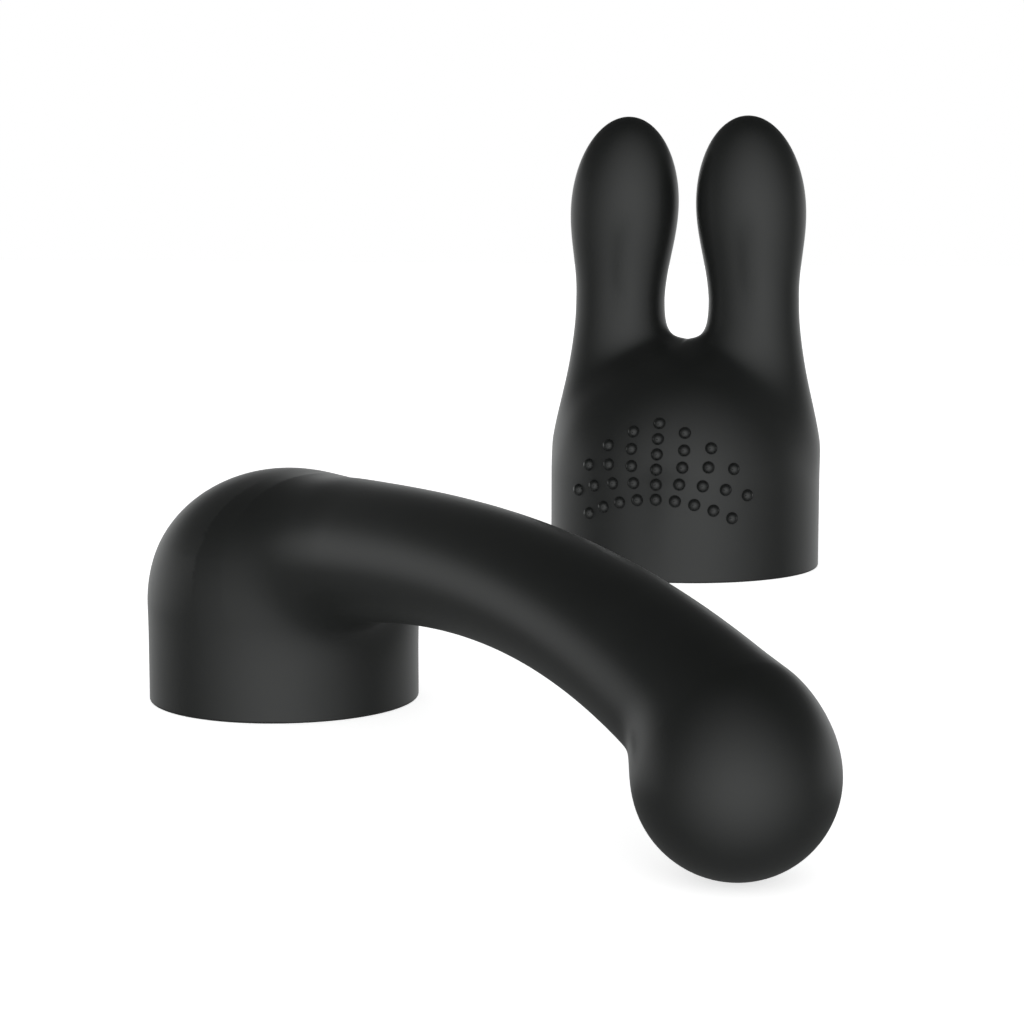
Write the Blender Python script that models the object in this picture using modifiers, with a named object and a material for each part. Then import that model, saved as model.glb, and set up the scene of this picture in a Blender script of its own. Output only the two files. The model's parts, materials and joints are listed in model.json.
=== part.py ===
"""Slip-on silicone heads for a wand massager: a curved head with a ball tip, and an eared head.

Each head is a one-piece silicone moulding that stretches over the wand's round head. Both stand
on their rims on the floor, as they are laid out for sale. Units are metres, +Z is up, and the
origin is on the floor, under the middle of the pair.
"""
import bpy
import bmesh
from math import asin, cos, pi, radians, sin, sqrt
from mathutils import Matrix, Vector

# Driving dimensions ---------------------------------------------------------------------------
FIT_GAP = 0.0003             # clearance kept between touching pieces

CURVE_CAP_RADIUS = 0.0240    # outside of the curved head's cap
CURVE_CAP_WALL = 0.0035
CURVE_CAP_SIDE = 0.0170      # height of the cap's straight side, below its dome
CURVE_ROOF_WALL = 0.0150     # from the socket's roof to the top of the cap's dome
CURVE_LIP_HEIGHT = 0.0040    # inward lip that holds the cap on the wand
CURVE_LIP_DEPTH = 0.0020

ARM_ROOT_RADIUS = 0.0110
ARM_TIP_RADIUS = 0.0101
ARM_ABOVE_PLATE = 0.0032     # from the plate to the centre of the arm's level run
ARM_BEND_LENGTH = 0.0670     # level run of the droop
ARM_BEND_TO_BALL = 0.0103    # from the end of the bend to the ball's centre, along the arm
ARM_BEND_ABOVE_BALL = 0.0080 # from the ball's centre up to the arm's centre at the bend's end
ARM_BEND_POWER = 2.87        # above 2, so the bend tightens towards the ball
ARM_END_TO_BALL = 0.0073     # the arm stops this far short of the ball's centre
BALL_RADIUS = 0.0138
BALL_REACH = 0.1373          # cap axis to ball centre

CORE_RADIUS = 0.0035         # stiff rod inside the arm
CORE_HEAD_RADIUS = 0.0065
CORE_START = -0.0080         # the rod begins a little behind the cap's axis
FOOTING_LENGTH = 0.0100      # block that joins the rod to its plate
FOOTING_WIDTH = 0.0050
PLATE_INSET = 0.0095         # from the anchor plate's edge to the socket's wall
PLATE_THICKNESS = 0.0024

EARED_RADIUS = 0.0327        # outside of the eared head's base
EARED_WALL = 0.0040
EARED_SIDE = 0.0220          # height of the base's straight side
EARED_DOME_TOP = 0.0540
EARED_ROOF_WALL = 0.0120     # from the socket's roof to the top of the dome
EARED_SOCKET_OVER_SIDE = 0.0020  # the socket's straight wall goes this far above the base's
EARED_LIP_HEIGHT = 0.0045
EARED_LIP_DEPTH = 0.0022

EAR_GAP = 0.004968           # between the two ears, where they are fullest
EAR_LEAN = 0.042             # inward run per unit of height above the waist
EAR_DEPTH_RATIO = 0.85       # front-to-back thickness over width
EAR_ROOT_OVER_SIDE = 0.0080  # the ears start this far above the base's straight side
EAR_ROOT_INSET = 0.0001      # from an ear's root to the base's outside
EAR_WAIST_OVER_DOME = 0.0090 # the ears flex this far above the dome
EAR_WAIST_RADIUS = 0.0107
EAR_BULGE_OVER_WAIST = 0.0230
EAR_BULGE_RADIUS = 0.01305
EAR_TIP_OVER_BULGE = 0.0226
EAR_SEAT_DROP = 0.5          # seat rim below the flex axis, in waist radii

NUB_COLUMNS = 5              # middle column and the four beside it, on each side
NUB_ROWS = 6
NUB_RADIUS = 0.00145
NUB_PROUD = 0.0010
NUB_FIRST_HEIGHT = 0.0195    # lowest nub of the middle column
NUB_FIRST_DROP = 0.00027     # how the columns start lower, times the column squared
NUB_STEP = 0.0035            # upward, in the middle column
NUB_STEP_GROWTH = 0.00043    # added to the step by each column
NUB_SPREAD = 0.0045          # sideways, at the lowest nubs
NUB_FAN = 0.0011             # added to the spread by each row
NUB_FAN_EASE = 0.00014       # taken off it again, times the row squared

CURVE_HEADING = radians(-43.4)     # the way the curved head's arm points
EARED_SHIFT = Vector((0.0355, 0.1778))   # eared head's axis from the curved head's axis

ROUND_STEPS = 48
TUBE_RESOLUTION = 10         # bevel resolution of the arm and the ears: 24 sides

# Sizes that follow from the ones above ---------------------------------------------------------
CURVE_DOME_TOP = CURVE_CAP_SIDE + CURVE_CAP_RADIUS
CURVE_SOCKET_ROOF = CURVE_DOME_TOP - CURVE_ROOF_WALL
PLATE_RADIUS = CURVE_CAP_RADIUS - CURVE_CAP_WALL - PLATE_INSET
ARM_HEIGHT = CURVE_SOCKET_ROOF + PLATE_THICKNESS + ARM_ABOVE_PLATE
ARM_BEND_END = BALL_REACH - ARM_BEND_TO_BALL
ARM_BEND_START = ARM_BEND_END - ARM_BEND_LENGTH
ARM_DROP = ARM_HEIGHT - BALL_RADIUS - ARM_BEND_ABOVE_BALL
ARM_END = BALL_REACH - ARM_END_TO_BALL

EARED_SOCKET_SIDE = EARED_SIDE + EARED_SOCKET_OVER_SIDE
EARED_SOCKET_ROOF = EARED_DOME_TOP - EARED_ROOF_WALL
EAR_OFFSET = EAR_GAP / 2 + EAR_BULGE_RADIUS + EAR_LEAN * EAR_BULGE_OVER_WAIST
EAR_ROOT_HEIGHT = EARED_SIDE + EAR_ROOT_OVER_SIDE
EAR_ROOT_RADIUS = EARED_RADIUS - EAR_OFFSET - EAR_ROOT_INSET
EAR_WAIST_HEIGHT = EARED_DOME_TOP + EAR_WAIST_OVER_DOME
EAR_BULGE_HEIGHT = EAR_WAIST_HEIGHT + EAR_BULGE_OVER_WAIST
EAR_TIP_HEIGHT = EAR_BULGE_HEIGHT + EAR_TIP_OVER_BULGE


# Scene ----------------------------------------------------------------------------------------
def clear_scene():
    for old in list(bpy.data.objects):
        bpy.data.objects.remove(old, do_unlink=True)


def new_collection(name):
    collection = bpy.data.collections.new(name)
    bpy.context.scene.collection.children.link(collection)
    return collection


def plain_material(name, color, roughness):
    material = bpy.data.materials.new(name)
    material.use_nodes = True
    shader = material.node_tree.nodes["Principled BSDF"]
    shader.inputs["Base Color"].default_value = (*color, 1.0)
    shader.inputs["Roughness"].default_value = roughness
    shader.inputs["Metallic"].default_value = 0.0
    return material


def add_empty(name, location, angle=0.0, parent=None):
    empty = bpy.data.objects.new(name, None)
    parts.objects.link(empty)
    empty.parent = parent
    empty.location = location
    empty.rotation_euler = (0.0, 0.0, angle)
    return empty


def add_object(name, mesh, parent, collection, material=None):
    new = bpy.data.objects.new(name, mesh)
    collection.objects.link(new)
    new.parent = parent
    if material:
        mesh.materials.append(material)
    return new


def as_cutter(tool):
    tool.hide_render = True
    tool.display_type = 'WIRE'
    return tool


def boolean(target, tool, operation):
    modifier = target.modifiers.new(tool.name, 'BOOLEAN')
    modifier.operation = operation
    modifier.solver = 'EXACT'
    modifier.object = tool


# Shapes ---------------------------------------------------------------------------------------
def turned(name, profile, parent, collection, material=None):
    """Turn a profile of (radius, height) points round the parent's Z axis."""
    mesh = bpy.data.meshes.new(name)
    edges = [(i, i + 1) for i in range(len(profile) - 1)]
    mesh.from_pydata([(radius, 0.0, height) for radius, height in profile], edges, [])
    new = add_object(name, mesh, parent, collection, material)
    screw = new.modifiers.new("Turn", 'SCREW')
    screw.steps = screw.render_steps = ROUND_STEPS
    screw.use_merge_vertices = True
    screw.merge_threshold = 0.00001
    screw.use_smooth_shade = True
    return new


def dome_arc(radius, start_height, top_height, steps):
    """Quarter ellipse from the axis at the top down to the wall."""
    rise = top_height - start_height
    angles = [pi / 2 * (1 - i / steps) for i in range(steps + 1)]
    arc = [(radius * cos(a), start_height + rise * sin(a)) for a in angles]
    arc[0] = (0.0, top_height)
    return arc


def tube(name, points, radii, parent, squash=1.0):
    """A round bar along points, with a radius at each, made a closed mesh."""
    curve = bpy.data.curves.new(name, 'CURVE')
    curve.dimensions = '3D'
    curve.bevel_depth = 1.0
    curve.bevel_resolution = TUBE_RESOLUTION
    curve.use_fill_caps = True
    spline = curve.splines.new('POLY')
    spline.points.add(len(points) - 1)
    for knot, point, radius in zip(spline.points, points, radii):
        knot.co = (*point, 1.0)
        knot.radius = radius
    guide = bpy.data.objects.new(name + "_guide", curve)
    cutters.objects.link(guide)
    bpy.context.view_layer.update()
    evaluated = guide.evaluated_get(bpy.context.evaluated_depsgraph_get())
    mesh = bpy.data.meshes.new_from_object(evaluated)
    bpy.data.objects.remove(guide, do_unlink=True)
    shaped = bmesh.new()
    shaped.from_mesh(mesh)
    bmesh.ops.remove_doubles(shaped, verts=shaped.verts, dist=0.000001)
    bmesh.ops.scale(shaped, vec=(1.0, squash, 1.0), verts=shaped.verts)
    bmesh.ops.recalc_face_normals(shaped, faces=shaped.faces)
    shaped.to_mesh(mesh)
    shaped.free()
    new = add_object(name, mesh, parent, cutters)
    return as_cutter(new)


def ball(name, centre, radius, parent, segments=32, rings=16):
    shaped = bmesh.new()
    bmesh.ops.create_uvsphere(shaped, u_segments=segments, v_segments=rings, radius=radius)
    mesh = bpy.data.meshes.new(name)
    shaped.to_mesh(mesh)
    shaped.free()
    new = add_object(name, mesh, parent, cutters)
    new.location = centre
    return as_cutter(new)


def cylinder(name, centre, radius, depth, parent, collection, turn=None):
    shaped = bmesh.new()
    bmesh.ops.create_cone(shaped, cap_ends=True, segments=ROUND_STEPS, radius1=radius,
                          radius2=radius, depth=depth, matrix=turn or Matrix())
    mesh = bpy.data.meshes.new(name)
    shaped.to_mesh(mesh)
    shaped.free()
    new = add_object(name, mesh, parent, collection)
    new.location = centre
    return new


def block(name, low, high, parent):
    size = [b - a for a, b in zip(low, high)]
    middle = [(a + b) / 2 for a, b in zip(low, high)]
    shaped = bmesh.new()
    bmesh.ops.create_cube(shaped, size=1.0)
    bmesh.ops.scale(shaped, vec=size, verts=shaped.verts)
    mesh = bpy.data.meshes.new(name)
    shaped.to_mesh(mesh)
    shaped.free()
    new = add_object(name, mesh, parent, cutters)
    new.location = middle
    return as_cutter(new)


def socket_cutter(name, radius, side, roof, lip_height, lip_depth, parent):
    """The hollow that the wand's head fills, with a narrower mouth under it."""
    below = -0.005
    profile = dome_arc(radius, side, roof, 6)
    profile += [(radius, lip_height + lip_depth), (radius - lip_depth, lip_height),
                (radius - lip_depth, below), (0.0, below)]
    return as_cutter(turned(name, profile, parent, cutters))


# Curved head ----------------------------------------------------------------------------------
def arm_centre(reach):
    """Height of the arm's centre at a distance from the cap's axis."""
    along = max(0.0, (reach - ARM_BEND_START) / (ARM_BEND_END - ARM_BEND_START))
    return ARM_HEIGHT - ARM_DROP * along ** ARM_BEND_POWER


def arm_points(start, end, steps=16):
    reaches = [start + (end - start) * i / steps for i in range(steps + 1)]
    return [(reach, 0.0, arm_centre(reach)) for reach in reaches]


def build_arm(parent, steps=16):
    """The arm, tapered, with a rounded end inside the ball."""
    points = arm_points(0.002, ARM_END, steps)
    radii = [ARM_ROOT_RADIUS + (ARM_TIP_RADIUS - ARM_ROOT_RADIUS) * i / steps
             for i in range(steps + 1)]
    end = Vector(points[-1])
    ahead = (end - Vector(points[-2])).normalized()
    for turn in (radians(30), radians(55), radians(75)):
        points.append(end + ahead * ARM_TIP_RADIUS * sin(turn))
        radii.append(ARM_TIP_RADIUS * cos(turn))
    return tube("arm", points, radii, parent)


def core_pieces(prefix, grow, parent):
    """Rod, head and footing block of the stiff core, each grown by a clearance."""
    points = arm_points(CORE_START - grow, ARM_END)
    points.append((BALL_REACH, 0.0, BALL_RADIUS))
    radii = [CORE_RADIUS + grow] * len(points)
    rod = tube(prefix + "_rod", points, radii, parent)
    head = ball(prefix + "_head", (BALL_REACH, 0.0, BALL_RADIUS), CORE_HEAD_RADIUS + grow, parent,
                segments=24, rings=12)
    half_length = FOOTING_LENGTH / 2 + grow
    half_width = FOOTING_WIDTH / 2 + grow
    footing = block(prefix + "_footing",
                    (-half_length, -half_width, CURVE_SOCKET_ROOF + PLATE_THICKNESS / 2),
                    (half_length, half_width, ARM_HEIGHT), parent)
    return rod, head, footing


def build_curved_head(anchor):
    profile = dome_arc(CURVE_CAP_RADIUS, CURVE_CAP_SIDE, CURVE_DOME_TOP, 10)
    profile += [(CURVE_CAP_RADIUS, 0.0), (0.0, 0.0)]
    sleeve = turned("curve_sleeve", profile, anchor, parts, silicone)
    boolean(sleeve, build_arm(anchor), 'UNION')
    boolean(sleeve, ball("ball_tip", (BALL_REACH, 0.0, BALL_RADIUS), BALL_RADIUS, anchor), 'UNION')
    for piece in core_pieces("core_room", FIT_GAP, anchor):
        boolean(sleeve, piece, 'DIFFERENCE')
    plate_middle = (0.0, 0.0, CURVE_SOCKET_ROOF + PLATE_THICKNESS / 2)
    room_top = CURVE_SOCKET_ROOF + PLATE_THICKNESS + FIT_GAP
    room = cylinder("plate_room", (0.0, 0.0, (CURVE_CAP_SIDE + room_top) / 2),
                    PLATE_RADIUS + FIT_GAP, room_top - CURVE_CAP_SIDE, anchor, cutters)
    boolean(sleeve, as_cutter(room), 'DIFFERENCE')
    boolean(sleeve, socket_cutter("curve_socket", CURVE_CAP_RADIUS - CURVE_CAP_WALL,
                                  CURVE_CAP_SIDE, CURVE_SOCKET_ROOF, CURVE_LIP_HEIGHT,
                                  CURVE_LIP_DEPTH, anchor), 'DIFFERENCE')
    core = cylinder("curve_core", plate_middle, PLATE_RADIUS, PLATE_THICKNESS, anchor, parts)
    core.data.materials.append(nylon)
    for piece in core_pieces("core", 0.0, anchor):
        boolean(core, piece, 'UNION')


# Eared head -----------------------------------------------------------------------------------
def ear_radius(height):
    """Half width of an ear's column: flared root, slim waist, full bulge, rounded tip."""
    if height > EAR_BULGE_HEIGHT:
        rise = (height - EAR_BULGE_HEIGHT) / (EAR_TIP_HEIGHT - EAR_BULGE_HEIGHT)
        return EAR_BULGE_RADIUS * sqrt(max(0.0, 1.0 - rise * rise))
    if height > EAR_WAIST_HEIGHT:
        far, far_radius = EAR_BULGE_HEIGHT, EAR_BULGE_RADIUS
    else:
        far, far_radius = EAR_ROOT_HEIGHT, EAR_ROOT_RADIUS
    ease = (1.0 - cos(pi * (height - EAR_WAIST_HEIGHT) / (far - EAR_WAIST_HEIGHT))) / 2
    return EAR_WAIST_RADIUS + (far_radius - EAR_WAIST_RADIUS) * ease


def ear_column(name, side, parent):
    """One ear, from inside the dome to its tip."""
    tip_rise = EAR_TIP_HEIGHT - EAR_BULGE_HEIGHT
    heights = [EAR_ROOT_HEIGHT + (EAR_BULGE_HEIGHT - EAR_ROOT_HEIGHT) * i / 14 for i in range(14)]
    heights += [EAR_BULGE_HEIGHT + tip_rise * sin(pi / 2 * i / 8) for i in range(8)]
    heights.append(EAR_TIP_HEIGHT - 0.00005)
    points = []
    for height in heights:
        lean = EAR_LEAN * max(0.0, height - EAR_WAIST_HEIGHT)
        points.append((side * (EAR_OFFSET - lean), 0.0, height))
    return tube(name, points, [ear_radius(h) for h in heights], parent, EAR_DEPTH_RATIO)


def ear_seat(name, side, radius, parent):
    """A bar across the ear's waist, on the axis that the ear flexes about."""
    seat = cylinder(name, (side * EAR_OFFSET, 0.0, EAR_WAIST_HEIGHT), radius,
                    2 * EARED_RADIUS, parent, cutters, Matrix.Rotation(pi / 2, 4, 'X'))
    return as_cutter(seat)


def build_ear(name, side, pivot):
    """The part of the ear above its flex axis, ending in a round knuckle."""
    column = ear_column(name + "_column", side, pivot.parent)
    mesh = column.data.copy()
    mesh.name = name
    for vertex in mesh.vertices:
        vertex.co -= pivot.location
    ear = add_object(name, mesh, pivot, parts, silicone)
    ear.data.shade_smooth()
    reach = 2 * EARED_RADIUS
    bed = block(name + "_bed", (-reach, -reach, 0.0), (reach, reach, EAR_WAIST_HEIGHT),
                pivot.parent)
    boolean(bed, ear_seat(name + "_knuckle", side, EAR_WAIST_RADIUS - FIT_GAP, pivot.parent),
            'DIFFERENCE')
    boolean(ear, bed, 'DIFFERENCE')
    return column


def nub_centres():
    """Fan of nubs on the front of the base: columns lean out and step down to the sides."""
    centres = []
    for column in range(NUB_COLUMNS):
        rows = NUB_ROWS - column
        first = NUB_FIRST_HEIGHT - NUB_FIRST_DROP * column ** 2
        step = NUB_STEP + NUB_STEP_GROWTH * column
        for row in range(rows):
            height = first + step * row
            arc = column * (NUB_SPREAD + NUB_FAN * row - NUB_FAN_EASE * row * row)
            for side in ((1,) if column == 0 else (-1, 1)):
                centres.append(base_point(side * arc / EARED_RADIUS, height))
    return centres


def base_point(angle, height):
    """Where a nub's centre lies, under the base's surface, at an angle from the front."""
    rise = max(0.0, height - EARED_SIDE) / (EARED_DOME_TOP - EARED_SIDE)
    radius = EARED_RADIUS * sqrt(1.0 - rise * rise)
    tilt = asin(rise)
    sunk = NUB_RADIUS - NUB_PROUD
    radius -= sunk * cos(tilt)
    return Vector((radius * sin(angle), -radius * cos(angle), height - sunk * sin(tilt)))


def nub_field(parent):
    shaped = bmesh.new()
    for centre in nub_centres():
        bmesh.ops.create_uvsphere(shaped, u_segments=8, v_segments=6, radius=NUB_RADIUS,
                                  matrix=Matrix.Translation(centre))
    mesh = bpy.data.meshes.new("nubs")
    shaped.to_mesh(mesh)
    shaped.free()
    return as_cutter(add_object("nubs", mesh, parent, cutters))


def build_eared_head(anchor):
    profile = dome_arc(EARED_RADIUS, EARED_SIDE, EARED_DOME_TOP, 12)
    profile += [(EARED_RADIUS, 0.0), (0.0, 0.0)]
    sleeve = turned("eared_sleeve", profile, anchor, parts, silicone)
    seat_rim = EAR_WAIST_HEIGHT - EAR_SEAT_DROP * EAR_WAIST_RADIUS
    reach = 2 * EARED_RADIUS
    above = block("above_seats", (-reach, -reach, seat_rim), (reach, reach, 2 * EAR_TIP_HEIGHT),
                  anchor)
    for name, side in (("left_ear", -1), ("right_ear", 1)):
        pivot = add_empty(name + "_axis", (side * EAR_OFFSET, 0.0, EAR_WAIST_HEIGHT), 0.0, anchor)
        boolean(sleeve, build_ear(name, side, pivot), 'UNION')
    boolean(sleeve, above, 'DIFFERENCE')
    for name, side in (("left_seat", -1), ("right_seat", 1)):
        boolean(sleeve, ear_seat(name, side, EAR_WAIST_RADIUS, anchor), 'DIFFERENCE')
    boolean(sleeve, socket_cutter("eared_socket", EARED_RADIUS - EARED_WALL, EARED_SOCKET_SIDE,
                                  EARED_SOCKET_ROOF, EARED_LIP_HEIGHT, EARED_LIP_DEPTH, anchor),
            'DIFFERENCE')
    boolean(sleeve, nub_field(anchor), 'UNION')


# Layout ---------------------------------------------------------------------------------------
def curved_head_place():
    """Place of the curved head's axis that puts the origin under the middle of the pair."""
    tip = Vector((cos(CURVE_HEADING), sin(CURVE_HEADING))) * BALL_REACH
    rounds = [(Vector((0.0, 0.0)), CURVE_CAP_RADIUS), (tip, BALL_RADIUS),
              (EARED_SHIFT, EARED_RADIUS)]
    middle = [(min(c[i] - r for c, r in rounds) + max(c[i] + r for c, r in rounds)) / 2
              for i in (0, 1)]
    return -Vector(middle)


clear_scene()
parts = new_collection("wand_head_set")
cutters = new_collection("cutters")
silicone = plain_material("black_silicone", (0.012, 0.013, 0.0125), 0.42)
nylon = plain_material("dark_nylon", (0.05, 0.05, 0.052), 0.5)

place = curved_head_place()
curved_anchor = add_empty("curved_head", (*place, 0.0), CURVE_HEADING)
eared_anchor = add_empty("eared_head", (*(place + EARED_SHIFT), 0.0))
build_curved_head(curved_anchor)
build_eared_head(eared_anchor)
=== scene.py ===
"""Finished look of two slip-on silicone heads for a wand massager, on a pale studio floor.

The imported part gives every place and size. This script grows the smooth moulded skins round it,
with their rims, lips and sockets, the fan of nubs, the finishes and the studio.
"""
import json
from math import asin, cos, pi, radians, sin, sqrt

import bpy
import numpy as np
from mathutils import Matrix, Vector


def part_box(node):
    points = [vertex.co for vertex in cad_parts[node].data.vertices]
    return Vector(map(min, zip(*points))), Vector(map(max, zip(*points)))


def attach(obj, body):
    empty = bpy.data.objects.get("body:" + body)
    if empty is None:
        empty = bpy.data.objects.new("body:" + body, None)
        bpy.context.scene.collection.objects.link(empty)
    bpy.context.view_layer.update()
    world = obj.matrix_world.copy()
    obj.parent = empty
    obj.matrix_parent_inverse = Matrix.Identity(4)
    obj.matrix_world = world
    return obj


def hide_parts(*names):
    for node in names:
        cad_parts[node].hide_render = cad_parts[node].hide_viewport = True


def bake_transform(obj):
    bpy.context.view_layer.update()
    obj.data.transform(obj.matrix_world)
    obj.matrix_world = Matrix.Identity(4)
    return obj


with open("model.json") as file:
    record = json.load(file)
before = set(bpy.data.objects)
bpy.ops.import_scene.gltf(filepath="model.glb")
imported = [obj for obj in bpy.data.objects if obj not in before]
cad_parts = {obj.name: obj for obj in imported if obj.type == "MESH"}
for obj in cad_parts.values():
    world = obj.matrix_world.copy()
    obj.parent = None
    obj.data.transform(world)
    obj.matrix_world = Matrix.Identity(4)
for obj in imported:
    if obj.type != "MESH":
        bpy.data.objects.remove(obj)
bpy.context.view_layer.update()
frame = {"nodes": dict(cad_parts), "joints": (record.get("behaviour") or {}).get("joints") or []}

bl_info = {
    "name": "Wand massager slip-on heads",
    "version": (1, 0, 0),
    "blender": (4, 5, 0),
    "location": "3D View > Sidebar > Slip-on heads",
    "description": "Moulded silicone heads for a wand massager, with a small studio",
    "category": "Add Mesh",
}


# User settings --------------------------------------------------------------------------------
def length(name, default, description):
    return bpy.props.FloatProperty(name=name, default=default, description=description,
                                   unit='LENGTH', precision=5)


def number(name, default, description):
    return bpy.props.FloatProperty(name=name, default=default, description=description,
                                   precision=3)


def colour(name, default, description):
    return bpy.props.FloatVectorProperty(name=name, default=default, description=description,
                                         subtype='COLOR', size=3, min=0.0, max=1.0)


class MouldingSettings(bpy.types.PropertyGroup):
    """What both mouldings share."""
    voxel: length("Mesh step", 0.0008, "Spacing of the skin's points")
    skirt: length("Skirt height", 0.006, "Height below which the wall is turned, not sculpted")
    edge_round: length("Edge rounding", 0.0005, "Radius of the rim's outer and inner edge")


class CurvedHeadSettings(bpy.types.PropertyGroup):
    """The cap with a curved arm and a ball tip."""
    radius: length("Cap radius", 0.0240, "Outside of the cap")
    side: length("Cap side", 0.0170, "Height of the straight side, under the dome")
    dome: length("Dome top", 0.0402, "Height of the dome, before the arm's fillet adds to it")
    mouth: length("Mouth radius", 0.0185, "Inside of the lip")
    socket: length("Socket radius", 0.0205, "Inside of the cap, above the lip")
    lip: length("Lip height", 0.0040, "Height of the inward lip")
    roof: length("Socket roof", 0.0260, "Height of the socket's roof")
    recess: length("Plate recess", 0.0113, "Radius of the recess that holds the anchor plate")
    recess_top: length("Recess top", 0.0287, "Height of the recess's end")
    arm_height: length("Arm height", 0.0322, "Centre of the arm, as if it had no droop")
    arm_rise: number("Arm rise", 0.14, "Slope of the arm, as if it had no droop")
    droop: length("Droop", 0.02216, "How far the arm has sunk at the end of its bend")
    droop_power: number("Droop power", 3.63, "How late the arm bends")
    root_girth: length("Root radius", 0.01315, "Arm radius where it leaves the cap")
    slimming: length("Slimming", 0.0084, "Four times what the arm loses between its ends")
    tip_girth: length("Tip radius", 0.0114, "Arm radius where it runs into the ball")
    ball: length("Ball radius", 0.0138, "Ball tip")
    reach: length("Reach", 0.1373, "Cap axis to ball centre")
    root_flare: number("Root flare", 0.38, "How much wider than high the arm's root is")
    root_slim: length("Root slimming", 0.0025, "What the arm loses inside the cap")
    fillet_under: length("Armpit fillet", 0.0140, "Blend between the cap's side and the arm")
    fillet_over: length("Shoulder fillet", 0.0120, "Blend between the dome and the arm")
    fillet_neck: length("Neck fillet", 0.0044, "Blend between the arm and the ball")


class EaredHeadSettings(bpy.types.PropertyGroup):
    """The domed cap with two soft ears."""
    radius: length("Base radius", 0.0327, "Outside of the base")
    side: length("Base side", 0.0226, "Height of the straight side, under the dome")
    dome: length("Dome top", 0.0550, "Height of the dome between the ears")
    mouth: length("Mouth radius", 0.0265, "Inside of the lip")
    socket: length("Socket radius", 0.0287, "Inside of the base, above the lip")
    lip: length("Lip height", 0.0045, "Height of the inward lip")
    socket_side: length("Socket side", 0.0240, "Height of the socket's straight wall")
    roof: length("Socket roof", 0.0420, "Height of the socket's roof")
    ear_offset: length("Ear offset", 0.0165, "Ear centre from the middle plane")
    ear_lean: number("Ear lean", 0.043, "Inward run of an ear for each unit of height")
    ear_depth: number("Ear depth", 0.85, "Front-to-back thickness over width")
    root_height: length("Root height", 0.0315, "Where an ear's column starts, inside the dome")
    root_girth: length("Root radius", 0.0145, "Half width of the column at its root")
    waist_height: length("Waist height", 0.0647, "Where the ear is slimmest")
    waist_girth: length("Waist radius", 0.0109, "Half width at the waist")
    bulge_height: length("Bulge height", 0.0866, "Where the ear is fullest")
    bulge_girth: length("Bulge radius", 0.0132, "Half width at the bulge")
    tip_height: length("Tip height", 0.1086, "Top of the ears")
    fillet: length("Ear fillet", 0.0085, "Blend between the dome and the ears")
    split_height: length("Split height", 0.0572, "Where the skin of the ears starts to bend")


class NubSettings(bpy.types.PropertyGroup):
    """The fan of nubs on the front of the base."""
    columns: bpy.props.IntProperty(name="Columns", default=5, min=1,
                                   description="Middle column and those beside it")
    rows: bpy.props.IntProperty(name="Rows", default=6, min=1,
                                description="Nubs in the middle column")
    first: length("First height", 0.0195, "Lowest nub of the middle column")
    step: length("Step", 0.0035, "Spacing in the middle column")
    spread: length("Spread", 0.0045, "Spacing of the columns at their lowest nubs")
    radius: length("Radius", 0.0014, "Nub radius")
    proud: length("Height", 0.0013, "How far a nub stands out")


class FinishSettings(bpy.types.PropertyGroup):
    """Colours and gloss."""
    silicone: colour("Silicone", (0.0100, 0.0108, 0.0104), "Black silicone")
    silicone_gloss: number("Silicone roughness", 0.34, "Roughness of the moulded skin")
    nub_gloss: number("Nub roughness", 0.20, "Roughness of the nubs")
    nylon: colour("Nylon", (0.022, 0.023, 0.024), "Stiff core and its plate")


class StudioSettings(bpy.types.PropertyGroup):
    """Camera, floor and light."""
    camera_side: length("Camera aside", 0.1559, "Camera from the curved cap's axis, along X")
    camera_back: length("Camera back", -0.3958, "Camera from the curved cap's axis, along Y")
    camera_height: length("Camera height", 0.0874, "Camera above the floor")
    heading: bpy.props.FloatProperty(name="Heading", default=radians(16.0), subtype='ANGLE',
                                     description="Turn of the view from +Y towards -X")
    pitch: bpy.props.FloatProperty(name="Pitch", default=radians(7.29), subtype='ANGLE',
                                   description="How far the camera looks down")
    lens: number("Lens", 84.4, "Focal length in millimetres, on a 36 mm sensor")
    ceiling_light: number("Ceiling light", 1.25, "Light from above, in watts per square metre")
    ceiling_spread: number("Ceiling spread", 140.0, "Degrees across which the ceiling shines")
    floor_glow: number("Floor glow", 0.70, "What the floor gives off by itself")
    front_light: number("Front light", 1.2, "Surroundings behind the camera")
    back_light: number("Back light", 0.82, "Surroundings ahead of the camera, near the horizon")
    side_light: number("Side light", 0.14, "Surroundings elsewhere; none overhead")


# Shader helpers -------------------------------------------------------------------------------
class Signal:
    """A number that varies over a surface; arithmetic on it adds Math nodes."""

    def __init__(self, tree, socket):
        self.tree = tree
        self.socket = socket

    def math(self, operation, *others, first=None):
        values = [self if first is None else first, *others]
        made = self.tree.nodes.new("ShaderNodeMath")
        made.operation = operation
        for slot, value in zip(made.inputs, values):
            if isinstance(value, Signal):
                self.tree.links.new(value.socket, slot)
            else:
                slot.default_value = value
        return Signal(self.tree, made.outputs[0])

    def __add__(self, other):
        return self.math('ADD', other)

    __radd__ = __add__

    def __sub__(self, other):
        return self.math('SUBTRACT', other)

    def __rsub__(self, other):
        return self.math('SUBTRACT', self, first=other)

    def __mul__(self, other):
        return self.math('MULTIPLY', other)

    def __pow__(self, other):
        return self.math('POWER', other)

    def above(self, floor):
        return self.math('MAXIMUM', floor)


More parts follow.
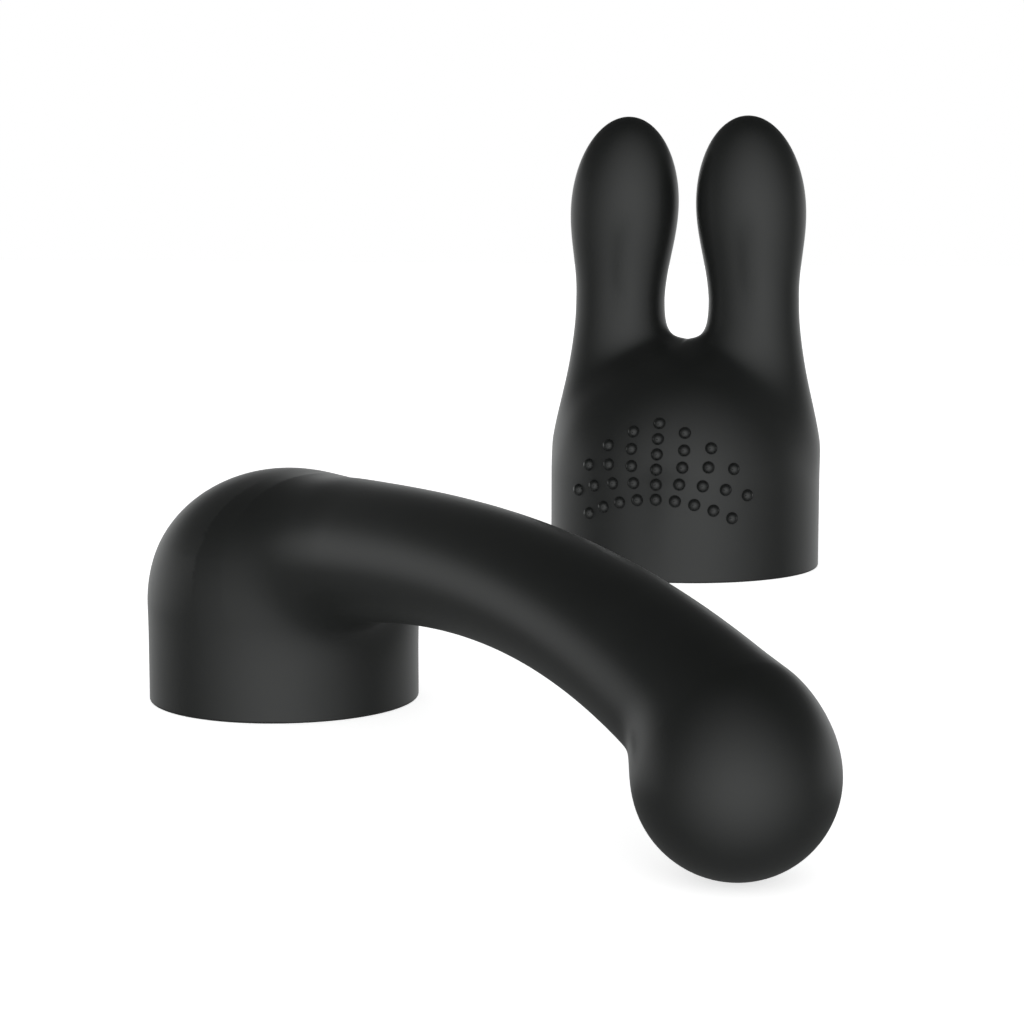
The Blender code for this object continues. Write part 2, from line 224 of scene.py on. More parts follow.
class Finish:
    """A node tree for one material or the world."""

    def __init__(self, tree):
        self.tree = tree
        tree.nodes.clear()

    def node(self, kind, settings=None, values=None):
        """Add a node: settings are set first, then its sockets' values or links."""
        made = self.tree.nodes.new(kind)
        for key, value in (settings or {}).items():
            setattr(made, key, value)
        for key, value in (values or {}).items():
            if isinstance(value, Signal):
                value = value.socket
            if isinstance(value, bpy.types.NodeSocket):
                self.tree.links.new(value, made.inputs[key])
            else:
                made.inputs[key].default_value = value
        return made

    def signal(self, kind, output, settings=None, values=None):
        return Signal(self.tree, self.node(kind, settings, values).outputs[output])


def new_finish(name):
    material = bpy.data.materials.new(name)
    material.use_nodes = True
    return material, Finish(material.node_tree)


def close_finish(finish, shader):
    output = finish.node("ShaderNodeOutputMaterial")
    finish.tree.links.new(shader.outputs[0], output.inputs[0])


def moulded_silicone(name, tone, gloss, grain):
    """Satin black silicone: faint cloudiness in its sheen, and a very fine matte grain."""
    material, finish = new_finish(name)
    place = finish.node("ShaderNodeTexCoord").outputs["Object"]
    cloud = finish.signal("ShaderNodeTexNoise", "Fac", {},
                          {"Vector": place, "Scale": 70.0, "Detail": 3.0, "Roughness": 0.55})
    speck = finish.signal("ShaderNodeTexNoise", "Fac", {},
                          {"Vector": place, "Scale": 5200.0, "Detail": 2.0, "Roughness": 0.6})
    flow = finish.signal("ShaderNodeTexNoise", "Fac", {},
                         {"Vector": place, "Scale": 900.0, "Detail": 2.0, "Roughness": 0.5})
    roughness = gloss + (cloud - 0.5) * 0.07 + (speck - 0.5) * 0.05
    tint = finish.node("ShaderNodeMix", {"data_type": 'RGBA'}, {"Factor": cloud})
    tint.inputs[6].default_value = (*[c * 0.88 for c in tone], 1.0)
    tint.inputs[7].default_value = (*[c * 1.12 for c in tone], 1.0)
    relief = speck * 0.7 + flow * 0.3
    bump = finish.node("ShaderNodeBump", {}, {"Height": relief, "Strength": grain,
                                              "Distance": 0.00006})
    shader = finish.node("ShaderNodeBsdfPrincipled", {}, {
        "Base Color": tint.outputs[2], "Roughness": roughness, "Normal": bump.outputs[0],
        "IOR": 1.5, "Metallic": 0.0})
    close_finish(finish, shader)
    return material


def moulded_nylon(name, tone):
    """Stiff core: dark nylon with a fine spark-eroded texture."""
    material, finish = new_finish(name)
    place = finish.node("ShaderNodeTexCoord").outputs["Object"]
    speck = finish.signal("ShaderNodeTexNoise", "Fac", {},
                          {"Vector": place, "Scale": 2600.0, "Detail": 3.0, "Roughness": 0.6})
    bump = finish.node("ShaderNodeBump", {}, {"Height": speck, "Strength": 0.35,
                                              "Distance": 0.0001})
    shader = finish.node("ShaderNodeBsdfPrincipled", {}, {
        "Base Color": (*tone, 1.0), "Roughness": 0.5 + (speck - 0.5) * 0.15,
        "Normal": bump.outputs[0], "IOR": 1.53})
    close_finish(finish, shader)
    return material


# Moulded forms: signed distance, in the head's own frame ---------------------------------------
def soft_join(a, b, blend):
    """Union of two distances with a smooth fillet about as wide as blend."""
    near = np.maximum(blend - np.abs(a - b), 0.0) / blend
    return np.minimum(a, b) - near ** 3 * blend / 6.0


def domed_cap(p, radius, side, top):
    """Round wall that closes in a dome."""
    out = np.hypot(p[:, 0], p[:, 1])
    rise = np.maximum(p[:, 2] - side, 0.0) / (top - side)
    share = np.sqrt((out / radius) ** 2 + rise ** 2) + 1e-9
    steep = np.sqrt((out / radius ** 2) ** 2 + (rise / (top - side)) ** 2) / share + 1e-9
    return np.where(p[:, 2] > side, (share - 1.0) / steep, out - radius)


class CurvedForm:
    """Cap, arm and ball of the curved head; the arm points along +X.

    The constants are places along the arm, from the cap's axis, and heights of its fillet.
    """
    ARM_START = -0.014
    TAPER_START = 0.015
    ROOT_END = 0.030
    FLARE_START = 0.010
    FLARE_LENGTH = 0.028
    LEVEL_AT = 0.040
    DROOP_START = -0.0343
    DROOP_END = 0.1270
    ARM_END = 0.1359
    FILLET_LOW = 0.028
    FILLET_RISE = 0.013

    def __init__(self, sizes):
        self.s = sizes

    def centre(self, reach):
        """Height and slope of the arm's centre."""
        s = self.s
        span = self.DROOP_END - self.DROOP_START
        along = np.maximum(reach - self.DROOP_START, 0.0) / span
        height = s.arm_height + s.arm_rise * (reach - self.LEVEL_AT)
        height = height - s.droop * along ** s.droop_power
        slope = s.arm_rise - s.droop * s.droop_power * along ** (s.droop_power - 1.0) / span
        return height, slope

    def girth(self, reach):
        s = self.s
        share = np.maximum(reach - self.TAPER_START, 0.0) / (self.ARM_END - self.TAPER_START)
        straight = s.root_girth + (s.tip_girth - s.root_girth) * share
        inside = np.maximum(1.0 - reach / self.ROOT_END, 0.0)
        return straight - s.slimming * share * (1.0 - share) - s.root_slim * inside ** 2

    def arm(self, p):
        samples = np.linspace(self.ARM_START, self.ARM_END, 48)
        heights = self.centre(samples)[0]
        far = (p[:, :1] - samples) ** 2 + (p[:, 2:] - heights) ** 2
        reach = samples[far.argmin(1)]
        step = 0.00002
        for _ in range(4):  # Newton steps towards the arm's nearest point
            height, slope = self.centre(reach)
            bend = (self.centre(reach + step)[1] - self.centre(reach - step)[1]) / (2 * step)
            miss = (reach - p[:, 0]) + (height - p[:, 2]) * slope
            rate = np.maximum(1.0 + slope ** 2 + (height - p[:, 2]) * bend, 0.2)
            reach = np.clip(reach - miss / rate, self.ARM_START, self.ARM_END)
        height = self.centre(reach)[0]
        flare = np.clip(1.0 - (reach - self.FLARE_START) / self.FLARE_LENGTH, 0.0, 1.0)
        aside = p[:, 1] / (1.0 + self.s.root_flare * flare ** 2)
        away = np.sqrt((p[:, 0] - reach) ** 2 + aside ** 2 + (p[:, 2] - height) ** 2)
        return away - self.girth(reach)

    def distance(self, p):
        s = self.s
        cap = domed_cap(p, s.radius, s.side, s.dome)
        share = np.clip((p[:, 2] - self.FILLET_LOW) / self.FILLET_RISE, 0.0, 1.0)
        fillet = s.fillet_under + (s.fillet_over - s.fillet_under) * share
        ball = np.sqrt((p[:, 0] - s.reach) ** 2 + p[:, 1] ** 2 + (p[:, 2] - s.ball) ** 2) - s.ball
        return soft_join(soft_join(cap, self.arm(p), fillet), ball, s.fillet_neck)


class EaredForm:
    """Dome and ears of the eared head; the ears stand apart along X."""
    ROOT_FADE = 60.0  # how fast an ear fades out below its root
    MIDDLE_ROUND = 5e-8  # keeps the middle plane smooth, in square metres

    def __init__(self, sizes):
        self.s = sizes

    def centre(self, height):
        return self.s.ear_offset - self.s.ear_lean * np.maximum(height - self.s.waist_height, 0.0)

    def girth(self, height):
        """Half width of an ear's column below its bulge."""
        s = self.s
        upper = height > s.waist_height
        far = np.where(upper, s.bulge_height, s.root_height)
        share = np.clip((height - s.waist_height) / (far - s.waist_height), 0.0, 1.0)
        ease = (1.0 - np.cos(pi * share)) / 2.0
        return s.waist_girth + (np.where(upper, s.bulge_girth, s.root_girth) - s.waist_girth) * ease

    def raw_ear(self, p):
        s = self.s
        aside = np.sqrt(p[:, 0] ** 2 + self.MIDDLE_ROUND) - self.centre(p[:, 2])
        out = np.sqrt(aside ** 2 + (p[:, 1] / s.ear_depth) ** 2)
        rise = np.maximum(p[:, 2] - s.bulge_height, 0.0) / (s.tip_height - s.bulge_height)
        tip = (np.sqrt((out / s.bulge_girth) ** 2 + rise ** 2) - 1.0) * s.bulge_girth
        return np.where(p[:, 2] > s.bulge_height, tip, out - self.girth(p[:, 2]))

    def ear(self, p):
        steep = np.linalg.norm(gradient(self.raw_ear, p), axis=1)
        below = self.ROOT_FADE * np.maximum(self.s.root_height - p[:, 2], 0.0) ** 2
        return self.raw_ear(p) / np.maximum(steep, 0.5) + below

    def distance(self, p):
        s = self.s
        return soft_join(domed_cap(p, s.radius, s.side, s.dome), self.ear(p), s.fillet)


def gradient(field, p, step=0.00001):
    sides = []
    for axis in range(3):
        shift = np.zeros(3)
        shift[axis] = step
        sides.append((field(p + shift) - field(p - shift)) / (2 * step))
    return np.stack(sides, axis=1)


# Modelling helpers ----------------------------------------------------------------------------
CAP_REACH = 1.2  # how far from its axis a cap's skirt is looked for, over the cap's radius
ON_FORM = 0.00002  # a point this close to its form takes the form's normal
EVENING = 0.6  # share by which a point moves towards the middle of its neighbours


def deselect():
    if bpy.context.object and bpy.context.object.mode != 'OBJECT':
        bpy.ops.object.mode_set(mode='OBJECT')
    bpy.ops.object.select_all(action='DESELECT')


def pick(*pieces):
    deselect()
    for piece in pieces:
        piece.select_set(True)
    bpy.context.view_layer.objects.active = pieces[0]


def add_ball(radius, place, flat=(1.0, 1.0, 1.0)):
    bpy.ops.mesh.primitive_uv_sphere_add(segments=48, ring_count=24, radius=radius,
                                         location=place, scale=flat)
    return bpy.context.object


def fuse(blanks, name, voxel):
    """Join overlapping solids into one even skin."""
    pick(*blanks)
    bpy.ops.object.join()
    piece = bpy.context.object
    piece.name = piece.data.name = name
    bpy.ops.object.transform_apply(location=True, rotation=True, scale=True)
    remesh = piece.modifiers.new("Skin", 'REMESH')
    remesh.mode = 'VOXEL'
    remesh.voxel_size = voxel
    remesh.use_smooth_shade = True
    bpy.ops.object.modifier_apply(modifier=remesh.name)
    return piece


def points_of(piece):
    flat = np.empty(len(piece.data.vertices) * 3)
    piece.data.vertices.foreach_get("co", flat)
    return flat.reshape(-1, 3)


def set_points(piece, points):
    piece.data.vertices.foreach_set("co", points.ravel())
    piece.data.update()


def cut(piece, height, keep_above, fill, reach=1.0):
    """Cut level at a height, only where the skin is within reach of the axis."""
    pick(piece)
    bpy.ops.object.mode_set(mode='EDIT')
    bpy.ops.mesh.select_mode(type='FACE')
    bpy.ops.mesh.select_all(action='DESELECT')
    bpy.ops.object.mode_set(mode='OBJECT')
    for polygon in piece.data.polygons:
        polygon.select = polygon.center.xy.length < reach
    bpy.ops.object.mode_set(mode='EDIT')
    bpy.ops.mesh.bisect(plane_co=(0, 0, height), plane_no=(0, 0, 1), use_fill=fill,
                        clear_inner=keep_above, clear_outer=not keep_above)
    bpy.ops.object.mode_set(mode='OBJECT')


def settle(piece, form, floor, reach, rounds=3):
    """Draw the skin onto its form, evening out its points in between."""
    mesh = piece.data
    pairs = np.empty(len(mesh.edges) * 2, dtype=np.int64)
    mesh.edges.foreach_get("vertices", pairs)
    a, b = pairs.reshape(-1, 2).T
    points = points_of(piece)
    count = len(points)
    neighbours = np.bincount(a, minlength=count) + np.bincount(b, minlength=count)
    rim = (points[:, 2] < floor + 0.000001) & (np.hypot(points[:, 0], points[:, 1]) < reach)
    for _ in range(rounds):
        for _ in range(6):
            total = np.stack([np.bincount(a, points[b, i], count)
                              + np.bincount(b, points[a, i], count) for i in range(3)], axis=1)
            even = total / neighbours[:, None]
            points = np.where(rim[:, None], points, points * (1.0 - EVENING) + even * EVENING)
        for _ in range(5):
            away = form.distance(points)
            slope = gradient(form.distance, points)
            points = points - slope * (away / np.maximum((slope ** 2).sum(1), 0.05))[:, None]
            points[rim, 2] = floor
    set_points(piece, points)


def turn_rings(piece, floor, rings):
    """Extrude the skirt's open edge through rings of (radius, height), and close the last."""
    pick(piece)
    bpy.ops.object.mode_set(mode='EDIT')
    bpy.ops.mesh.select_mode(type='VERT')
    bpy.ops.mesh.select_all(action='DESELECT')
    bpy.ops.mesh.select_non_manifold()
    last_radius, last_height = rings[0][0], floor
    for radius, height in rings[1:]:
        bpy.ops.mesh.extrude_edges_move(
            TRANSFORM_OT_translate={"value": (0.0, 0.0, height - last_height)})
        share = radius / last_radius
        bpy.ops.transform.resize(value=(share, share, 1.0), center_override=(0.0, 0.0, height))
        last_radius, last_height = radius, height
    bpy.ops.mesh.merge(type='CENTER')
    bpy.ops.object.mode_set(mode='OBJECT')


def corner(radius, height, size, start, end, steps=5):
    """Rings round a corner whose arc is centred at radius and height."""
    turns = [radians(start + (end - start) * i / steps) for i in range(steps + 1)]
    return [(radius + size * cos(t), height + size * sin(t)) for t in turns]


def straight(start, end, steps):
    return [(start[0] + (end[0] - start[0]) * i / steps,
             start[1] + (end[1] - start[1]) * i / steps) for i in range(1, steps + 1)]


def lip_rings(outer, mouth, socket, lip, skirt, edge):
    """Outer wall down to the rim, across it, and up past the inward lip into the socket."""
    rings = [(outer, skirt)]
    rings += straight((outer, skirt), (outer, edge), 4)
    rings += corner(outer - edge, edge, edge, 0.0, -90.0)[1:]
    rings += straight((outer - edge, 0.0), (mouth + edge, 0.0), 4)
    rings += corner(mouth + edge, edge, edge, 270.0, 180.0)[1:]
    rings += straight((mouth, edge), (mouth, lip - edge), 3)
    rings += corner(mouth + edge, lip - edge, edge, 180.0, 135.0, 3)[1:]
    rings += straight(rings[-1], (socket, lip + socket - mouth), 3)
    return rings


def dome_rings(radius, side, top, narrow, steps):
    """Rings of an elliptic roof, from the wall to where it is only narrow across."""
    rings = []
    last = asin(sqrt(1.0 - (narrow / radius) ** 2))
    for i in range(steps + 1):
        turn = last * i / steps
        rings.append((radius * cos(turn), side + (top - side) * sin(turn)))
    return rings


def shade(piece, form, flat_heights=()):
    """Smooth shading that follows the form where the mesh lies on it."""
    pick(piece)
    bpy.ops.object.shade_smooth_by_angle(angle=radians(40.0))
    mesh = piece.data
    corners = np.empty(len(mesh.loops), dtype=np.int64)
    mesh.loops.foreach_get("vertex_index", corners)
    normals = np.empty(len(mesh.loops) * 3)
    mesh.corner_normals.foreach_get("vector", normals)
    normals = normals.reshape(-1, 3)
    points = points_of(piece)
    on_form = np.abs(form.distance(points)) < ON_FORM
    slope = gradient(form.distance, points)
    slope /= np.linalg.norm(slope, axis=1)[:, None]
    use = on_form[corners]
    for polygon in mesh.polygons:
        flat = any(abs(polygon.center.z - height) < 0.000001 for height in flat_heights)
        if flat and abs(polygon.normal.z) > 0.999:
            use[polygon.loop_start:polygon.loop_start + polygon.loop_total] = False
    normals[use] = slope[corners[use]]
    mesh.normals_split_custom_set(normals)


def put_in_place(piece, matrix):
    """Move the finished mesh to its place; its object stays at the origin."""
    piece.data.transform(matrix)
    piece.data.update()


def dress(piece, material):
    piece.data.materials.clear()
    piece.data.materials.append(material)


def outward(piece):
    pick(piece)
    bpy.ops.object.mode_set(mode='EDIT')
    bpy.ops.mesh.select_all(action='SELECT')
    bpy.ops.mesh.normals_make_consistent(inside=False)
    bpy.ops.object.mode_set(mode='OBJECT')


# Places from the frame ------------------------------------------------------------------------
def joint_named(name):
    return next(joint for joint in frame["joints"] if joint["name"] == name)


def eared_place():
    left = Vector(joint_named("left_ear_bend")["pos_m"])
    right = Vector(joint_named("right_ear_bend")["pos_m"])
    middle = (left + right) / 2
    return Matrix.Translation((middle.x, middle.y, 0.0))


def curved_place(sizes):
    """The cap stands at the low-X, high-Y corner of its sleeve's box, the ball at the other."""
    low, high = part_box("curve_sleeve")
    x, y = low[0] + sizes.radius, high[1] - sizes.radius
    ball_x, ball_y = high[0] - sizes.ball, low[1] + sizes.ball
    arm = Vector((ball_x - x, ball_y - y)).normalized()
    turn = Matrix(((arm.x, -arm.y, 0, 0), (arm.y, arm.x, 0, 0), (0, 0, 1, 0), (0, 0, 0, 1)))
    return Matrix.Translation((x, y, 0.0)) @ turn


# Operators ------------------------------------------------------------------------------------
class HEADS_OT_curved_head(bpy.types.Operator):
    """Mould the curved head: cap, arm and ball in one skin, with its lip and socket"""
    bl_idname = "heads.curved_head"
    bl_label = "Curved head"

    def execute(self, context):
        sizes = context.scene.heads_curved
        moulding = context.scene.heads_moulding
        form = CurvedForm(sizes)
        piece = fuse(self.blanks(form, sizes), "curved_skin", moulding.voxel)
        near = sizes.radius * CAP_REACH
        cut(piece, moulding.skirt, keep_above=True, fill=False, reach=near)
        settle(piece, form, moulding.skirt, near)
        rings = lip_rings(sizes.radius, sizes.mouth, sizes.socket, sizes.lip, moulding.skirt,
                          moulding.edge_round)
        rings += straight(rings[-1], (sizes.socket, sizes.side), 4)
        rings += dome_rings(sizes.socket, sizes.side, sizes.roof, sizes.recess, 8)[1:]
        rings += straight(rings[-1], (sizes.recess, sizes.recess_top), 3)
        rings += straight(rings[-1], (0.0008, sizes.recess_top), 4)
        turn_rings(piece, moulding.skirt, rings)
        outward(piece)
        shade(piece, form)
        put_in_place(piece, curved_place(sizes))
        finish = context.scene.heads_finish
        dress(piece, moulded_silicone("satin_silicone", finish.silicone, finish.silicone_gloss,
                                      0.25))
        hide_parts("curve_sleeve")
        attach(piece, "curved_head")
        return {'FINISHED'}

    def blanks(self, form, sizes):
        """Rough solids inside the form: cap, dome, a chain of balls for the arm, ball tip."""
        bpy.ops.mesh.primitive_cylinder_add(vertices=96, radius=sizes.radius, depth=sizes.side,
                                            location=(0.0, 0.0, sizes.side / 2))
        made = [bpy.context.object, add_ball(sizes.radius, (0.0, 0.0, sizes.side))]
        for reach in np.linspace(form.ARM_START, form.ARM_END, 26):
            height = float(form.centre(reach)[0])
            made.append(add_ball(float(form.girth(reach)), (float(reach), 0.0, height)))
        made.append(add_ball(sizes.ball, (sizes.reach, 0.0, sizes.ball)))
        return made


class HEADS_OT_curved_core(bpy.types.Operator):
    """Finish the stiff core, whose anchor plate shows in the curved head's socket"""
    bl_idname = "heads.curved_core"
    bl_label = "Curved head's core"

    def execute(self, context):
        core = frame["nodes"]["curve_core"]
        core.data.materials.clear()
        core.data.materials.append(moulded_nylon("dark_nylon", context.scene.heads_finish.nylon))
        return {'FINISHED'}


class HEADS_OT_eared_head(bpy.types.Operator):
    """Mould the eared head in one skin, then part its ears where they start to bend"""
    bl_idname = "heads.eared_head"
    bl_label = "Eared head"

    def execute(self, context):
        sizes = context.scene.heads_eared
        moulding = context.scene.heads_moulding
        form = EaredForm(sizes)
        piece = fuse(self.blanks(form, sizes), "eared_skin", moulding.voxel)
        cut(piece, moulding.skirt, keep_above=True, fill=False)
        settle(piece, form, moulding.skirt, sizes.radius * CAP_REACH)
        finish = context.scene.heads_finish
        silicone = bpy.data.materials.get("satin_silicone") or moulded_silicone(
            "satin_silicone", finish.silicone, finish.silicone_gloss, 0.25)
        place = eared_place()
        for name, side in (("left_ear", -1), ("right_ear", 1)):
            self.ear(piece, name, side, form, sizes, silicone, place)
        cut(piece, sizes.split_height, keep_above=False, fill=True)
        rings = lip_rings(sizes.radius, sizes.mouth, sizes.socket, sizes.lip, moulding.skirt,
                          moulding.edge_round)
        rings += straight(rings[-1], (sizes.socket, sizes.socket_side), 5)
        rings += dome_rings(sizes.socket, sizes.socket_side, sizes.roof, 0.0012, 12)[1:]
        turn_rings(piece, moulding.skirt, rings)
        outward(piece)
        shade(piece, form, (sizes.split_height,))
        put_in_place(piece, place)
        dress(piece, silicone)
        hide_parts("eared_sleeve")
        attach(piece, "eared_head")
        return {'FINISHED'}

    def blanks(self, form, sizes):
        bpy.ops.mesh.primitive_cylinder_add(vertices=96, radius=sizes.radius, depth=sizes.side,
                                            location=(0.0, 0.0, sizes.side / 2))
        rise = (sizes.dome - sizes.side) / sizes.radius
        made = [bpy.context.object,
                add_ball(sizes.radius, (0.0, 0.0, sizes.side), (1.0, 1.0, rise))]
        tip = sizes.tip_height - sizes.bulge_height
        for side in (-1, 1):
            for height in np.linspace(sizes.root_height, sizes.bulge_height, 16):
                girth = float(form.girth(np.array(height)))
                aside = side * float(form.centre(np.array(height)))
                made.append(add_ball(girth, (aside, 0.0, float(height)),
                                     (1.0, sizes.ear_depth, 1.0)))
            top = side * float(form.centre(np.array(sizes.bulge_height)))
            made.append(add_ball(sizes.bulge_girth, (top, 0.0, sizes.bulge_height),
                                 (1.0, sizes.ear_depth, tip / sizes.bulge_girth)))
        return made

    def ear(self, whole, name, side, form, sizes, silicone, place):
        """One ear as a closed skin above the split."""
        pick(whole)
        bpy.ops.object.duplicate()
        piece = bpy.context.object
        piece.name = piece.data.name = name + "_skin"
        cut(piece, sizes.split_height, keep_above=True, fill=True)
        bpy.ops.object.mode_set(mode='EDIT')
        bpy.ops.mesh.select_all(action='SELECT')
        bpy.ops.mesh.bisect(plane_co=(0, 0, 0), plane_no=(side, 0, 0), clear_inner=True)
        bpy.ops.object.mode_set(mode='OBJECT')
        outward(piece)
        shade(piece, form, (sizes.split_height,))
        put_in_place(piece, place)
        dress(piece, silicone)
        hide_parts(name)
        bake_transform(piece)


class HEADS_OT_nubs(bpy.types.Operator):
    """Set the fan of nubs into the front of the eared head"""
    bl_idname = "heads.nubs"
    bl_label = "Nubs"
    FIRST_DROP = 0.00027  # lowest nub's drop, over the square of its column's number
    STEP_GROWTH = 0.00043  # what each column adds to the spacing in it
    FAN = 0.0011  # what each row adds to the spacing of the columns
    FAN_EASE = 0.00014  # what it adds less, over the square of the row's number

    def execute(self, context):
        nubs = context.scene.heads_nubs
        form = EaredForm(context.scene.heads_eared)
        master = self.nub(nubs)
        copies = []
        for place in self.places(nubs, context.scene.heads_eared, form):
            copy = bpy.data.objects.new("nub", master.data.copy())
            context.scene.collection.objects.link(copy)
            copy.data.transform(place)
            copies.append(copy)
        bpy.data.objects.remove(master, do_unlink=True)
        pick(*copies)
        bpy.ops.object.join()
        piece = bpy.context.object
        piece.name = piece.data.name = "nub_field"
        outward(piece)
        bpy.ops.object.shade_smooth()
        put_in_place(piece, eared_place())
        finish = context.scene.heads_finish
        dress(piece, moulded_silicone("glossy_silicone", finish.silicone, finish.nub_gloss, 0.08))
        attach(piece, "eared_head")
        return {'FINISHED'}

    def nub(self, nubs):
        """One nub on the floor plane: a dome with a small flare, closed under the surface."""
        sunk = 0.0004
        dome = [(nubs.radius * cos(pi / 2 * i / 7), nubs.proud * sin(pi / 2 * i / 7))
                for i in range(7, 0, -1)]
        profile = [(0.0, nubs.proud)] + dome[1:]
        profile += [(nubs.radius * 1.04, 0.00003), (nubs.radius * 1.06, -sunk), (0.0, -sunk)]
        mesh = bpy.data.meshes.new("nub")
        edges = [(i, i + 1) for i in range(len(profile) - 1)]
        mesh.from_pydata([(radius, 0.0, height) for radius, height in profile], edges, [])
        piece = bpy.data.objects.new("nub", mesh)
        bpy.context.scene.collection.objects.link(piece)
        pick(piece)
        screw = piece.modifiers.new("Turn", 'SCREW')
        screw.steps = screw.render_steps = 20
        screw.use_merge_vertices = True
        screw.merge_threshold = 0.000005
        bpy.ops.object.modifier_apply(modifier=screw.name)
        return piece

    def places(self, nubs, sizes, form):
        """Columns lean out and step down towards the sides; each nub stands on the skin."""
        made = []
        for column in range(nubs.columns):
            first = nubs.first - self.FIRST_DROP * column ** 2
            step = nubs.step + self.STEP_GROWTH * column
            for row in range(nubs.rows - column):
                height = first + step * row
                arc = column * (nubs.spread + self.FAN * row - self.FAN_EASE * row * row)
                for side in ((1,) if column == 0 else (-1, 1)):
                    turn = side * arc / sizes.radius
                    made.append(self.stand(form, sizes, turn, height))
        return made

    def stand(self, form, sizes, turn, height):
        """Matrix that puts a nub on the skin, straight out from it."""
        ray = np.array([sin(turn), -cos(turn), 0.0])
        spot = ray * (sizes.radius + 0.002) + np.array([0.0, 0.0, height])
        for _ in range(30):
            spot = spot - ray * form.distance(spot[None])[0]
        out = Vector(gradient(form.distance, spot[None])[0]).normalized()
        return Matrix.Translation(spot) @ out.to_track_quat('Z', 'Y').to_matrix().to_4x4()


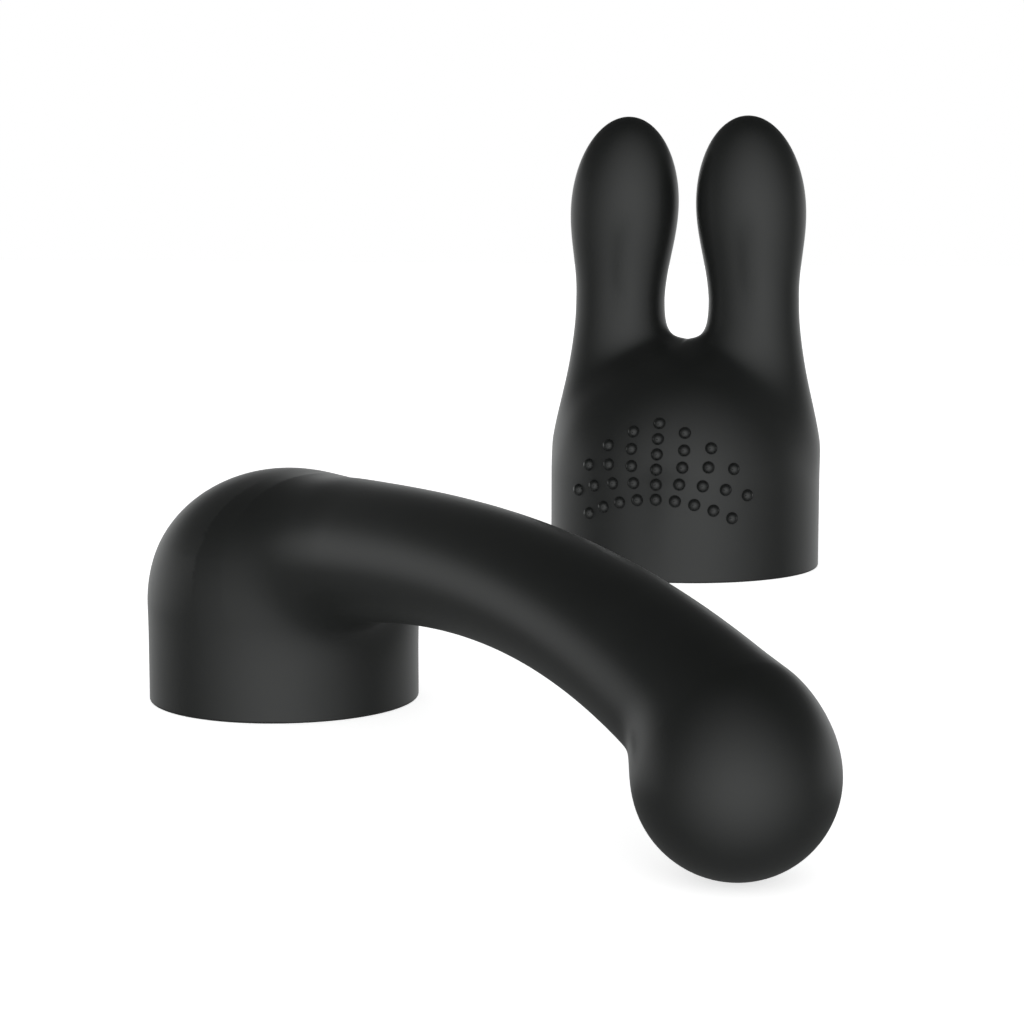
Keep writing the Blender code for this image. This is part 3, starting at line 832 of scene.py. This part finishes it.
class HEADS_OT_studio(bpy.types.Operator):
    """Set the pale floor, the soft light and the camera"""
    bl_idname = "heads.studio"
    bl_label = "Studio"

    def execute(self, context):
        studio = context.scene.heads_studio
        self.floor(studio)
        self.backdrop()
        self.ceiling(studio)
        self.surroundings(context, studio)
        self.camera(context, studio)
        context.scene.view_settings.view_transform = 'Standard'
        return {'FINISHED'}

    def floor(self, studio):
        bpy.ops.mesh.primitive_plane_add(size=6.0, location=(0.0, 0.0, 0.0))
        floor = bpy.context.object
        floor.name = "floor"
        material, finish = new_finish("pale_floor")
        shader = finish.node("ShaderNodeBsdfPrincipled", {}, {
            "Base Color": (0.86, 0.86, 0.86, 1.0), "Roughness": 1.0, "Specular IOR Level": 0.0,
            "Emission Color": (1.0, 1.0, 1.0, 1.0), "Emission Strength": studio.floor_glow})
        close_finish(finish, shader)
        floor.data.materials.append(material)
        floor.visible_glossy = False

    def backdrop(self):
        """A pale dome behind everything, which gives no light."""
        bpy.ops.mesh.primitive_uv_sphere_add(segments=48, ring_count=24, radius=8.0)
        dome = bpy.context.object
        dome.name = "backdrop"
        material, finish = new_finish("pale_backdrop")
        shader = finish.node("ShaderNodeEmission", {}, {"Color": (1.0, 1.0, 1.0, 1.0),
                                                        "Strength": 1.0})
        close_finish(finish, shader)
        dome.data.materials.append(material)
        dome.visible_glossy = dome.visible_diffuse = dome.visible_shadow = False
        dome.visible_transmission = False

    def ceiling(self, studio):
        """Even, soft light from all over the ceiling."""
        light = bpy.data.lights.new("ceiling", 'SUN')
        light.angle = radians(studio.ceiling_spread)
        light.energy = studio.ceiling_light
        ceiling = bpy.data.objects.new("ceiling", light)
        bpy.context.scene.collection.objects.link(ceiling)
        ceiling.location = (0.0, 0.0, 1.5)
        ceiling.visible_glossy = False

    def surroundings(self, context, studio):
        """Bright before and behind the view, darker to the sides, darkest overhead."""
        world = bpy.data.worlds.new("studio_air")
        context.scene.world = world
        world.use_nodes = True
        air = Finish(world.node_tree)
        ray = air.node("ShaderNodeTexCoord").outputs["Generated"]
        ahead = (-sin(studio.heading), cos(studio.heading), 0.0)
        facing = air.signal("ShaderNodeVectorMath", "Value", {"operation": 'DOT_PRODUCT'},
                            {0: ray, 1: ahead})
        up = air.signal("ShaderNodeSeparateXYZ", "Z", {}, {"Vector": ray})
        front = (facing * -1.0).above(0.0) ** 1.8
        low = (1.0 - up * up * 11.0).above(0.0)
        back = facing.above(0.0) ** 0.5 * low
        rest = studio.side_light - up.above(0.0) * studio.side_light
        level = rest + front * studio.front_light + back * studio.back_light
        glow = air.node("ShaderNodeBackground", {}, {"Color": (0.985, 1.0, 0.995, 1.0),
                                                     "Strength": level})
        output = air.node("ShaderNodeOutputWorld")
        air.tree.links.new(glow.outputs[0], output.inputs[0])

    def camera(self, context, studio):
        cap = curved_place(context.scene.heads_curved).translation
        data = bpy.data.cameras.new("camera")
        data.lens = studio.lens
        data.sensor_width = 36.0
        camera = bpy.data.objects.new("camera", data)
        context.scene.collection.objects.link(camera)
        camera.location = (cap.x + studio.camera_side, cap.y + studio.camera_back,
                           studio.camera_height)
        camera.rotation_euler = (pi / 2 - studio.pitch, 0.0, studio.heading)
        data.clip_start = 0.01
        context.scene.camera = camera


class HEADS_PT_panel(bpy.types.Panel):
    """Buttons for each piece, in the order they are made."""
    bl_idname = "HEADS_PT_panel"
    bl_label = "Slip-on heads"
    bl_space_type = 'VIEW_3D'
    bl_region_type = 'UI'
    bl_category = "Slip-on heads"

    def draw(self, context):
        for step in STEPS:
            self.layout.operator(step.bl_idname, text=step.bl_label)


SETTINGS = {"heads_moulding": MouldingSettings, "heads_curved": CurvedHeadSettings,
            "heads_eared": EaredHeadSettings, "heads_nubs": NubSettings,
            "heads_finish": FinishSettings, "heads_studio": StudioSettings}
STEPS = (HEADS_OT_curved_head, HEADS_OT_curved_core, HEADS_OT_eared_head, HEADS_OT_nubs,
         HEADS_OT_studio)


def register():
    for name, group in SETTINGS.items():
        bpy.utils.register_class(group)
        setattr(bpy.types.Scene, name, bpy.props.PointerProperty(type=group))
    for step in STEPS:
        bpy.utils.register_class(step)
    bpy.utils.register_class(HEADS_PT_panel)


def unregister():
    bpy.utils.unregister_class(HEADS_PT_panel)
    for step in reversed(STEPS):
        bpy.utils.unregister_class(step)
    for name, group in reversed(SETTINGS.items()):
        delattr(bpy.types.Scene, name)
        bpy.utils.unregister_class(group)


def main():
    register()
    bpy.ops.heads.curved_head()
    bpy.ops.heads.curved_core()
    bpy.ops.heads.eared_head()
    bpy.ops.heads.nubs()
    bpy.ops.heads.studio()


if __name__ == "__main__":
    main()
